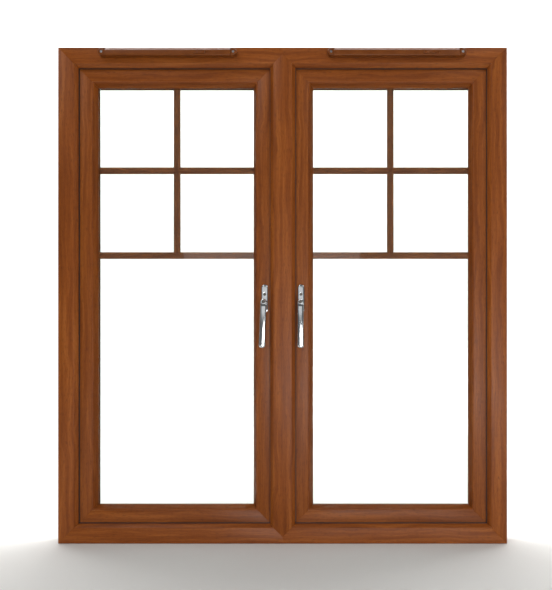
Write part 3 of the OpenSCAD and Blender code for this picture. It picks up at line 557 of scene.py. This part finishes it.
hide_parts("outer_frame")
print("outer frame faces:", len(outer_frame.data.polygons))

# %% [markdown]
# ## Sashes and beads
# A sash is one welded rectangle of its own profile, with a groove for the lock in its
# edge and a leaf on the outside. The beads are four loose lengths that are pressed in,
# so their mitres are not welded: they meet at a hairline.

# %% Sashes and beads
Y_LEAF = Y_OUT - 9.0
SIGHT = STILE + BEAD_W
LEAF_SIGHT = SIGHT - 4.0
Y_BEAD = Y_SASH + BEAD_T
sash_outline = rounded([
    (Y_SASH, 0, 1.4), (Y_SASH, STILE, 0.4), (Y_LEAF, STILE, 0), (Y_LEAF, LEAF_SIGHT, 0.5),
    (Y_OUT - 4, LEAF_SIGHT, 0.8), (Y_OUT, LEAF_SIGHT - 4, 0.8), (Y_OUT, -LEAF_LAP, 1.2),
    (Y_LEAF, -LEAF_LAP, 0.6), (Y_LEAF, 0, 0), (12, 0, 0.3), (12, 4, 0), (-4, 4, 0),
    (-4, 0, 0.3),
])
bead_outline = rounded([
    (Y_SASH, STILE, 1.6), (Y_SASH, STILE + 3.2, 2.2), (Y_BEAD - 2.0, SIGHT, 1.0),
    (Y_BEAD, SIGHT, 0), (Y_BEAD, STILE, 0),
], 4)
for side, sign in SIDES.items():
    centre = sign * abs(SASH_X)
    mid_z = SASH_Z + SASH_H / 2
    sash = make_mesh(side + "sash", four_bars(sash_outline, centre, mid_z, SASH_W, SASH_H),
                     foil_sash, range(4))
    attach(sash, side + "sash")
    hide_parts(side + "sash_frame")
    beads = make_mesh(side + "beads", four_bars(bead_outline, centre, mid_z, SASH_W, SASH_H, 0.08, 0.4),
                      foil_bead, range(4, 8))
    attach(beads, side + "sash")
    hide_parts(side + "glazing_beads")

# %% [markdown]
# ## Bars in the cavity
# The bars are thin sculptured extrusions between the panes: flat in the middle, with
# an ogee to a thin edge. Where two bars of one section cross at one height, their
# surfaces meet on the diagonals by themselves, which is the mitred cross that a
# fabricator makes, so each bar is simply run through.

# %% Bars in the cavity
bar_lo, bar_hi = (np.array(corner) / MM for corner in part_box("left_georgian_bars"))
Y_BAR = (bar_lo[1] + bar_hi[1]) / 2
BAR_HALF = 9.0
UPPER_BAR_DOWN = 316.5
LOWER_Z = bar_lo[2] + BAR_HALF
UPPER_Z = FRAME_H - UPPER_BAR_DOWN
quarter = [(4.0, 4.4, 1.6), (2.3, 6.9, 1.2), (1.4, BAR_HALF, 0.5)]
bar_outline = rounded(
    [(Y_BAR - y, u, r) for y, u, r in quarter] + [(Y_BAR + y, u, r) for y, u, r in quarter[::-1]]
    + [(Y_BAR + y, -u, r) for y, u, r in quarter] + [(Y_BAR - y, -u, r) for y, u, r in quarter[::-1]])
for side, sign in SIDES.items():
    centre = sign * (bar_lo[0] + bar_hi[0]) / -2
    run = (bar_hi[0] - bar_lo[0]) / 2
    level = [bar(bar_outline, lambda u: 0 * u - run, lambda u: 0 * u + run,
                 lambda s, y, u, z=z: (centre + s, y, z + u), 0.0) for z in (LOWER_Z, UPPER_Z)]
    upright = bar(bar_outline, lambda u: 0 * u + LOWER_Z, lambda u: 0 * u + bar_hi[2],
                  lambda s, y, u: (centre + u, y, s), 0.0)
    bars = make_mesh(side + "cavity_bars", level + [upright], foil_bar, range(8, 11))
    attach(bars, side + "sash")
    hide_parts(side + "georgian_bars")


# %% [markdown]
# ## Plates with a rounded front
# The handle's base, the ends of the vents and the like are flat outlines pressed or
# moulded with a soft front edge. The outline shrinks along its own normals while it
# comes forward, following a quarter circle.

# %% Rounded plates and turned pieces
def stadium(width, height, square_to=None, steps=14):
    """Points [x, z] of a slot shape round the origin; with square_to, its low-x end is
    square and lies there."""
    r = height / 2 if square_to is not None or width > height else width / 2
    angle = np.linspace(-np.pi / 2, np.pi / 2, steps)
    if square_to is not None:
        end = np.stack([width + square_to - r + r * np.cos(angle), r * np.sin(angle)], 1)
        return np.concatenate([end, [[square_to, r], [square_to, -r]]])
    long_x = max(width / 2 - r, 0)
    long_z = max(height / 2 - r, 0)
    if long_z:
        top = np.stack([-r * np.sin(angle), long_z + r * np.cos(angle)], 1)
        return np.concatenate([top, -top])
    right = np.stack([long_x + r * np.cos(angle), r * np.sin(angle)], 1)
    return np.concatenate([right, -right])


def skin(name, rings, material):
    """A closed piece through a stack of rings [ring, point, xyz], capped at both ends."""
    count, around = rings.shape[:2]
    i, j = np.meshgrid(np.arange(count - 1), np.arange(around), indexing="ij")
    k = (j + 1) % around
    quads = np.stack([i * around + j, i * around + k, (i + 1) * around + k,
                      (i + 1) * around + j], -1).reshape(-1, 4).tolist()
    quads.append(list(range(around))[::-1])
    quads.append(list(range((count - 1) * around, count * around)))
    mesh = bpy.data.meshes.new(name)
    mesh.from_pydata((rings.reshape(-1, 3) * MM).tolist(), [], quads)
    mesh.update()
    return finish_mesh(name, mesh, material, 50.0)


def plate(name, outline, cx, cz, y_back, y_front, fillet, material, steps=6):
    """A plate in the XZ plane whose front edge is a quarter circle of this radius:
    inset fillet * (1 - cos a), forward fillet * sin a."""
    a = np.linspace(0, np.pi / 2, steps)
    inset = np.concatenate([[0.0], fillet * (1 - np.cos(a))])
    forward = np.concatenate([[y_back], y_front + fillet * (1 - np.sin(a))])
    normal = outward(outline)
    at = outline[None] - inset[:, None, None] * normal[None]
    rings = np.stack([at[..., 0] + cx, np.broadcast_to(forward[:, None], at.shape[:2]),
                      at[..., 1] + cz], -1)
    return skin(name, rings, material)


def turned(name, stations, cx, cz, material, sides=48):
    """A turned piece about a line along Y, from (y, radius) stations."""
    angle = np.linspace(0, 2 * np.pi, sides, endpoint=False)
    y = np.array([s[0] for s in stations], float)[:, None]
    r = np.array([s[1] for s in stations], float)[:, None]
    rings = np.stack([cx + r * np.cos(angle), np.broadcast_to(y, (len(y), sides)),
                      cz + r * np.sin(angle)], -1)
    return skin(name, rings, material)


# %% [markdown]
# ## Vents
# Each vent is a thin-walled extrusion with a rounded front, closed at both ends by a
# moulded cap with one screw. Air leaves through windows in its top, and a slot in its
# front lets the shutter's knob through. The knob itself is a working piece.

# %% Vents
WALL = 1.8
h, d = VENT_H / 2, VENT_D
CAP = 18.0
vent_outline = rounded([
    (Y_ROOM - 0.1, -h, 0), (Y_ROOM - d, -h, 2.2), (Y_ROOM - d, h - 5.5, 2.8),
    (Y_ROOM - d + 5, h, 2.2), (Y_ROOM - 0.1, h, 0), (Y_ROOM - 0.1, h - WALL, 0),
    (Y_ROOM - d + 5.2, h - WALL, 1.4), (Y_ROOM - d + WALL, h - 6.2, 1.8),
    (Y_ROOM - d + WALL, WALL - h, 1.5), (Y_ROOM - 0.1, WALL - h, 0),
], 4)
KNOB_X, KNOB_L, KNOB_H, KNOB_RUN = 85.0, 28.0, 6.0, 12.0
KNOB_Z = VENT_Z - 2.0
for side, sign in SIDES.items():
    cx = sign * VENT_X
    run = VENT_LEN / 2 - CAP
    canopy = make_mesh(side + "vent_cover", [bar(
        vent_outline, lambda u: 0 * u - run, lambda u: 0 * u + run,
        lambda s, y, u: (cx + s, y, VENT_Z + u), 0.35)], vent_brown)
    knob_slot = box_tool((cx + KNOB_X - KNOB_L / 2 - 0.5, Y_ROOM - d - 2, KNOB_Z - KNOB_H / 2 - 0.5),
                         (cx + KNOB_X + KNOB_L / 2 + KNOB_RUN + 0.5, Y_ROOM - d + WALL + 1,
                          KNOB_Z + KNOB_H / 2 + 0.5))
    outlets = [box_tool((cx + i * 24 - 5, Y_ROOM - d / 2 - 3, VENT_Z + 6),
                        (cx + i * 24 + 5, Y_ROOM - d / 2 + 3, VENT_Z + h + 2)) for i in range(-5, 6)]
    cut(canopy, [knob_slot] + outlets)
    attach(canopy, "frame")
    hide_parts(side + "vent_canopy")
    caps = []
    for end in (-1, 1):
        shape = stadium(CAP - 0.15, VENT_H + 0.6, VENT_LEN / 2 - CAP + 0.15)
        shape[:, 0] *= end
        cap = plate(f"{side}cap_{end}", shape, cx, VENT_Z, Y_ROOM, Y_ROOM - d - 0.4, 3.4, vent_brown)
        screw_x = cx + end * (VENT_LEN / 2 - VENT_H / 2)
        cut(cap, [round_tool((screw_x, Y_ROOM - d, VENT_Z), "Y", 3.4, 5.0)])
        caps.append(cap)
    caps = join(caps, side + "vent_ends")
    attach(caps, "frame")
    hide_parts(side + "vent_end_caps")


# %% [markdown]
# ## Handles
# The lever is a die casting that was polished and plated: a round head on the axis,
# with the lock button in its face, and a blade that hangs from it. The blade is a
# superellipse carried down a gently bowed line. Near the head it is nearly a box with
# a flat face, towards the tip it is nearly an oval, and it shrinks to nothing there.
# The left lever leans a little about its axis.

# %% Handles
lever_lo, lever_hi = (np.array(corner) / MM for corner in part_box("right_handle_lever"))
base_lo, base_hi = (np.array(corner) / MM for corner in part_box("right_handle_base"))
button_lo, button_hi = (np.array(corner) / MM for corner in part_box("right_lock_button"))
HANDLE_X = (base_lo[0] + base_hi[0]) / 2
HANDLE_Z = (button_lo[2] + button_hi[2]) / 2
LEVER_W = lever_hi[0] - lever_lo[0]
HEAD_FRONT = button_lo[1] + 1.6
LEAN = {"left_": np.radians(2.0), "right_": 0.0}
SCREW_DZ = 21.5


def blade(name, cx, lean, material, stations=56, around=40):
    """The lever's blade. Down the blade t goes from 0 to 1. Its middle line bows by
    y = y0 - bow * sin(pi t), its half width and half thickness ease from the head's to
    the tip's, and both fall as sqrt(1 - q^2) over the rounded last part. It starts at
    half its thickness, behind the head's ring. The section is |x / a|^n + |y / b|^n = 1,
    where n falls from a flat-faced 4.6 to a rounded 2.2. The whole blade leans about the handle's axis:
    x moves by depth * sin(lean) and z by depth * (1 - cos(lean))."""
    top, tip = HANDLE_Z + 2.0, lever_lo[2] + 0.3
    t = 1 - (1 - np.linspace(0, 1, stations)) ** 1.7
    z = top + (tip - top) * t
    round_len = 7.0
    q = np.clip(1 - (z - tip) / round_len, 0, 1)
    end = np.sqrt(np.clip(1 - q ** 2, 0.0004, 1))
    half_w = (LEVER_W / 2 - 0.7 * np.sin(np.pi * np.clip(t * 1.15, 0, 1)) - 0.1) * end
    ease = t * t * (3 - 2 * t)
    rise = np.clip((top - z) / 14.0, 0, 1)
    rise = rise * rise * (3 - 2 * rise)
    half_t = (5.6 - 1.1 * ease) * (0.25 + 0.75 * end) * (0.5 + 0.5 * rise)
    y = lever_lo[1] + 6.6 - 0.8 * np.sin(np.pi * t)
    angle = np.linspace(0, 2 * np.pi, around, endpoint=False)
    power = 2 / (4.6 - 2.4 * ease[:, None])
    cos, sin = np.cos(angle)[None, :], np.sin(angle)[None, :]
    ex = np.sign(cos) * np.abs(cos) ** power
    ey = np.sign(sin) * np.abs(sin) ** power
    side = half_w[:, None] * ex
    down = z[:, None] - HANDLE_Z
    rings = np.stack([cx + side * np.cos(lean) + down * np.sin(lean),
                      y[:, None] + half_t[:, None] * ey,
                      HANDLE_Z + down * np.cos(lean) - side * np.sin(lean)], -1)
    return skin(name, rings, material)


for side, sign in SIDES.items():
    cx = sign * abs(HANDLE_X)
    neck = turned(side + "neck", [
        (Y_SASH - 6.2, 5.0), (Y_SASH - 6.3, 7.0), (Y_SASH - 7.2, 7.4), (Y_SASH - 24, 7.4),
        (Y_SASH - 28, 7.5), (HEAD_FRONT + 2.3, 7.5), (HEAD_FRONT + 1.9, 7.3),
        (HEAD_FRONT + 0.4, 6.0), (HEAD_FRONT + 0.05, 5.8), (HEAD_FRONT, 5.6),
        (HEAD_FRONT + 0.05, 5.3), (HEAD_FRONT + 0.5, 5.1), (HEAD_FRONT + 1.0, 5.0),
    ], cx, HANDLE_Z, chrome)
    lever = join([blade(side + "blade", cx, LEAN[side], chrome), neck], side + "lever")
    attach(lever, side + "handle")
    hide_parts(side + "handle_lever")
    base = plate(side + "base", stadium(base_hi[0] - base_lo[0], base_hi[2] - base_lo[2]), cx,
                 (base_lo[2] + base_hi[2]) / 2, Y_SASH, base_lo[1], 2.6, chrome)
    cut(base, [round_tool((cx, base_lo[1], HANDLE_Z + dz), "Y", radius, depth)
               for radius, depth in ((5.0, 2.4), (4.1, 5.4)) for dz in (-SCREW_DZ, SCREW_DZ)])
    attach(base, side + "sash")
    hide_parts(side + "handle_base")

# %% [markdown]
# ## Floor, light and camera
# The window stands on a plain pale floor that curves up to a wall behind it, as on a
# studio table. Two soft lights high on both sides show the grain, a low one gives the
# sheen on the lower rails, and a small card in front is what the levers reflect. The
# wall behind is lit on its own, so that the glass reads bright and clear. The view
# transform is the plain one, so the brown of the foil is not washed out.

# %% Floor and backdrop
def backdrop(front, back, half_width, height, radius, steps=24):
    """A floor that turns up into a wall: a line, a quarter circle and a line in YZ."""
    a = np.linspace(0, np.pi / 2, steps)
    y = np.concatenate([[front], back - radius + radius * np.sin(a), [back]])
    z = np.concatenate([[0.0], radius * (1 - np.cos(a)), [height]]) - 0.0005
    x = np.array([-half_width, half_width])
    verts = np.stack([np.repeat(x, len(y)), np.tile(y, 2), np.tile(z, 2)], 1)
    k = np.arange(len(y) - 1)
    faces = np.stack([k, k + len(y), k + len(y) + 1, k + 1], 1)
    mesh = bpy.data.meshes.new("studio_floor")
    mesh.from_pydata(verts.tolist(), [], faces.tolist())
    mesh.polygons.foreach_set("use_smooth", np.ones(len(faces), bool))
    floor = bpy.data.objects.new("studio_floor", mesh)
    bpy.context.scene.collection.objects.link(floor)
    return floor


paint = start_material("matt_studio_paint", "#e8e7e4", roughness=0.9)[0]
floor = backdrop(-6.0, 2.6, 6.0, 5.0, 1.2)
floor.data.materials.append(paint)


def softbox(name, at, aim, size, watts, colour="#ffffff"):
    """A square area light at a point, turned to face another one."""
    light = bpy.data.lights.new(name, "AREA")
    light.shape = "RECTANGLE"
    light.size, light.size_y = size
    light.energy = watts
    light.color = linear(colour)[:3]
    lamp = bpy.data.objects.new(name, light)
    lamp.location = at
    direction = np.array(aim, float) - np.array(at, float)
    yaw = np.arctan2(-direction[0], direction[1])
    pitch = np.arctan2(direction[2], np.hypot(direction[0], direction[1]))
    lamp.rotation_euler = (np.pi / 2 + pitch, 0, yaw)
    bpy.context.scene.collection.objects.link(lamp)
    return lamp


softbox("key_softbox", (-1.7, -2.4, 3.5), (0, 0, 0.6), (1.6, 1.2), 42)
softbox("fill_softbox", (2.0, -2.5, 2.8), (0, 0, 0.6), (1.4, 1.1), 26)
softbox("low_softbox", (0.5, -2.7, 0.25), (0, 0, 0.3), (1.5, 0.5), 30)
softbox("handle_card", (-0.25, -2.75, 0.95), (0, 0, 0.64), (1.1, 0.5), 1.1)
softbox("wall_light", (0.0, 0.9, 3.2), (0, 2.6, 0.8), (4.0, 0.8), 180)
world = bpy.data.worlds.new("studio")
world.use_nodes = True
world.node_tree.nodes["Background"].inputs["Color"].default_value = linear("#ffffff")
world.node_tree.nodes["Background"].inputs["Strength"].default_value = 0.14
bpy.context.scene.world = world
bpy.context.scene.view_settings.view_transform = "Standard"

camera_data = bpy.data.cameras.new("camera")
camera_data.lens = 47.2
camera_data.shift_x = -0.100
camera_data.shift_y = 0.085
camera = bpy.data.objects.new("camera", camera_data)
camera.location = (0.139, -2.085, 0.526)
camera.rotation_euler = (np.pi / 2, 0, 0)
bpy.context.scene.collection.objects.link(camera)
bpy.context.scene.camera = camera
